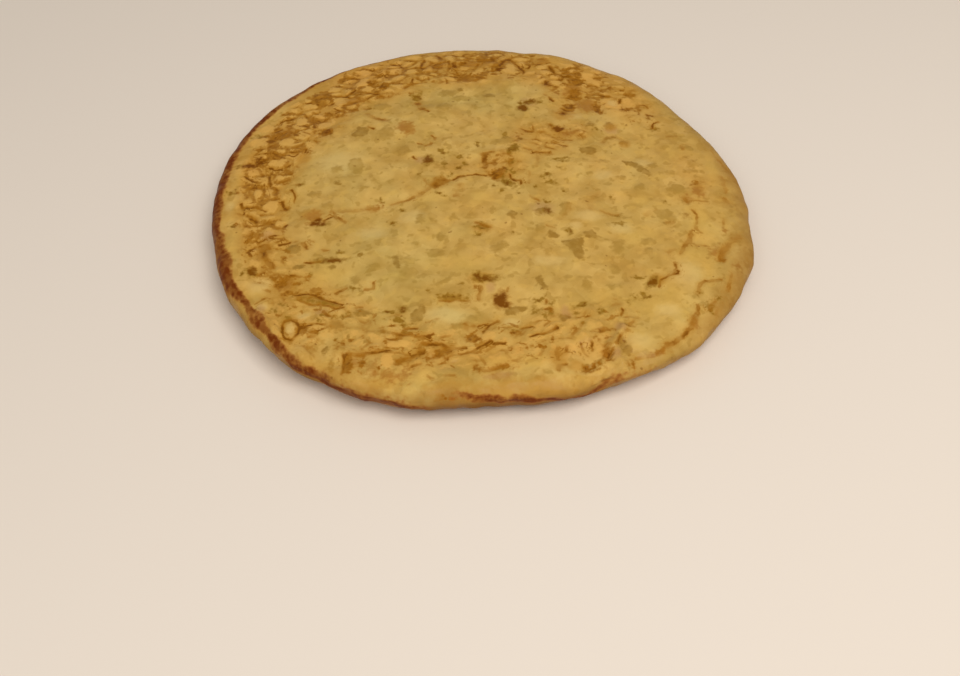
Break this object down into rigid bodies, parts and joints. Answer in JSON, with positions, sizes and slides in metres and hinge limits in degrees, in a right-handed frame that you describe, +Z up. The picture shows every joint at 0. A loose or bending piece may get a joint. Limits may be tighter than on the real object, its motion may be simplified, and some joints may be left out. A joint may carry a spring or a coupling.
{
  "type": "potato omelette",
  "caption": "Whole uncut potato omelette, a low round cake of set egg and potato with a flat base, a lumpy browned top and a thin rounded rim.",
  "frame": {"origin": "on the flat underside, below the middle of the outline's box", "axes": "+Z up through the browned top, +X towards the broad slumped shoulder, +Y away from the folded front rim"},
  "size_m": [0.2506, 0.2474, 0.0218],
  "materials": {
    "omelette_skin": "set egg, golden yellow with brown lacework and olive potato showing through, lightly oiled"
  },
  "bodies": {
    "root": {"tortilla": "omelette_skin"}
  },
  "joints": []
}
